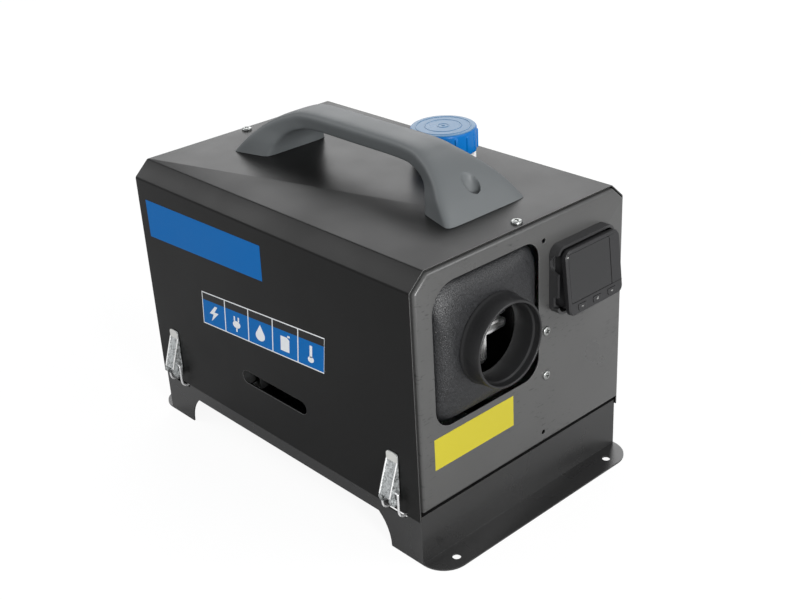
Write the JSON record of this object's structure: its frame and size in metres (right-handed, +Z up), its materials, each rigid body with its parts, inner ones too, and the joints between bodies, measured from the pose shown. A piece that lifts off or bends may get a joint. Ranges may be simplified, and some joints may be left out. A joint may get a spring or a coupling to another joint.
{
  "type": "portable diesel air heater",
  "caption": "Portable fuel-burning air heater in a latched sheet-metal case on a floor stand, with a top handle, a ribbed tank cap, a round warm-air outlet and a hand controller.",
  "frame": {"origin": "middle of the stand's footprint, on the surface it stands on", "axes": "+Z up, -Y the way the warm-air outlet faces, +X towards the fuel tank's side"},
  "size_m": [0.29, 0.4435, 0.3271],
  "materials": {
    "powder_black": "black powder coat",
    "panel_black": "black powder coat",
    "textured_black": "finely textured moulding",
    "moulded_black": "satin",
    "handle_grey": "fine matte grain",
    "rubber": "matte",
    "zinc": "zinc plated",
    "wire": "bright zinc plated wire",
    "cast_aluminium": "die cast",
    "steel": "plain",
    "galvanised": "galvanised",
    "tank_white": "blow moulded, slightly translucent",
    "cap_blue": "slightly translucent",
    "fan_grey": "satin",
    "board_green": "lacquered",
    "gasket_grey": "pressed fibre",
    "clear_plastic": "clear moulding",
    "brass": "plain",
    "screen_black": "polished",
    "fuel_hose": "satin"
  },
  "bodies": {
    "case": {"stand": "powder_black", "rubber_strip_front": "rubber", "rubber_strip_rear": "rubber", "chassis_floor": "powder_black", "front_panel": "panel_black", "rear_panel": "panel_black", "cover": "powder_black", "handle": "handle_grey", "heater_front_cap": "textured_black", "outlet_collar": "moulded_black", "heater_casing_upper": "moulded_black", "heater_casing_lower": "moulded_black", "heater_intake_cap": "moulded_black", "heat_exchanger": "cast_aluminium", "burner": "steel", "glow_plug": "steel", "blower_housing": "cast_aluminium", "blower_motor": "steel", "control_board": "board_green", "mounting_gasket": "gasket_grey", "heater_bracket": "galvanised", "exhaust_pipe": "steel", "combustion_air_pipe": "steel", "fuel_tank": "tank_white", "fuel_pickup": "brass", "tank_strap": "galvanised", "dosing_pump": "steel", "pump_clamp": "rubber", "fuel_filter": "clear_plastic", "fuel_hose_tank": "fuel_hose", "fuel_hose_pump": "fuel_hose", "power_supply": "galvanised", "mains_inlet": "moulded_black", "supply_gland": "moulded_black", "intake_grille": "moulded_black", "controller_holder": "moulded_black", "controller_housing": "moulded_black", "controller_screen": "screen_black", "latch_base_front_left": "zinc", "latch_base_rear_left": "zinc", "latch_base_front_right": "zinc", "latch_base_rear_right": "zinc"},
    "rotor": {"rotor_shaft": "steel", "combustion_impeller": "cast_aluminium", "hot_air_wheel": "fan_grey"},
    "cap_seal": {"cap_seal": "rubber"},
    "fuel_cap": {"fuel_cap": "cap_blue"},
    "key_left": {"key_left": "moulded_black"},
    "key_middle": {"key_middle": "moulded_black"},
    "key_right": {"key_right": "moulded_black"},
    "latch_lever_front_left": {"latch_lever_front_left": "galvanised"},
    "latch_bail_front_left": {"latch_bail_front_left": "wire"},
    "latch_lever_rear_left": {"latch_lever_rear_left": "galvanised"},
    "latch_bail_rear_left": {"latch_bail_rear_left": "wire"},
    "latch_lever_front_right": {"latch_lever_front_right": "galvanised"},
    "latch_bail_front_right": {"latch_bail_front_right": "wire"},
    "latch_lever_rear_right": {"latch_lever_rear_right": "galvanised"},
    "latch_bail_rear_right": {"latch_bail_rear_right": "wire"}
  },
  "joints": [
    {"name": "lever_swing_front_left", "type": "hinge", "parent": "case", "child": "latch_lever_front_left", "pos_m": [-0.138, -0.164, 0.06], "axis": [0, -1, 0], "range_deg": [0, 140]},
    {"name": "bail_swing_front_left", "type": "hinge", "parent": "latch_lever_front_left", "child": "latch_bail_front_left", "pos_m": [-0.138, -0.164, 0.069], "axis": [0, -1, 0], "range_deg": [-140, 0]},
    {"name": "lever_swing_rear_left", "type": "hinge", "parent": "case", "child": "latch_lever_rear_left", "pos_m": [-0.138, 0.164, 0.06], "axis": [0, -1, 0], "range_deg": [0, 140]},
    {"name": "bail_swing_rear_left", "type": "hinge", "parent": "latch_lever_rear_left", "child": "latch_bail_rear_left", "pos_m": [-0.138, 0.164, 0.069], "axis": [0, -1, 0], "range_deg": [-140, 0]},
    {"name": "lever_swing_front_right", "type": "hinge", "parent": "case", "child": "latch_lever_front_right", "pos_m": [0.138, -0.164, 0.06], "axis": [0, 1, 0], "range_deg": [0, 140]},
    {"name": "bail_swing_front_right", "type": "hinge", "parent": "latch_lever_front_right", "child": "latch_bail_front_right", "pos_m": [0.138, -0.164, 0.069], "axis": [0, 1, 0], "range_deg": [-140, 0]},
    {"name": "lever_swing_rear_right", "type": "hinge", "parent": "case", "child": "latch_lever_rear_right", "pos_m": [0.138, 0.164, 0.06], "axis": [0, 1, 0], "range_deg": [0, 140]},
    {"name": "bail_swing_rear_right", "type": "hinge", "parent": "latch_lever_rear_right", "child": "latch_bail_rear_right", "pos_m": [0.138, 0.164, 0.069], "axis": [0, 1, 0], "range_deg": [-140, 0]},
    {"name": "fan_spin", "type": "hinge", "parent": "case", "child": "rotor", "pos_m": [-0.048, 0.06, 0.195], "axis": [0, 1, 0], "continuous": true},
    {"name": "cap_lift", "type": "slide", "parent": "case", "child": "cap_seal", "axis": [0, 0, 1], "range_m": [0, 0.0061]},
    {"name": "cap_turn", "type": "hinge", "parent": "cap_seal", "child": "fuel_cap", "pos_m": [0.0685, -0.033, 0.3], "axis": [0, 0, 1], "range_deg": [0, 540]},
    {"name": "key_press_left", "type": "slide", "parent": "case", "child": "key_left", "axis": [0, 0.9945, -0.1045], "range_m": [0, 0.0008], "stiffness_N_per_m": 500},
    {"name": "key_press_middle", "type": "slide", "parent": "case", "child": "key_middle", "axis": [0, 0.9945, -0.1045], "range_m": [0, 0.0008], "stiffness_N_per_m": 500},
    {"name": "key_press_right", "type": "slide", "parent": "case", "child": "key_right", "axis": [0, 0.9945, -0.1045], "range_m": [0, 0.0008], "stiffness_N_per_m": 500}
  ],
  "couplings": [
    {"joint": "bail_swing_front_left", "follows": "lever_swing_front_left", "ratio": -1},
    {"joint": "bail_swing_rear_left", "follows": "lever_swing_rear_left", "ratio": -1},
    {"joint": "bail_swing_front_right", "follows": "lever_swing_front_right", "ratio": -1},
    {"joint": "bail_swing_rear_right", "follows": "lever_swing_rear_right", "ratio": -1},
    {"joint": "cap_lift", "follows": "cap_turn", "m_per_rad": 0.00063662}
  ]
}
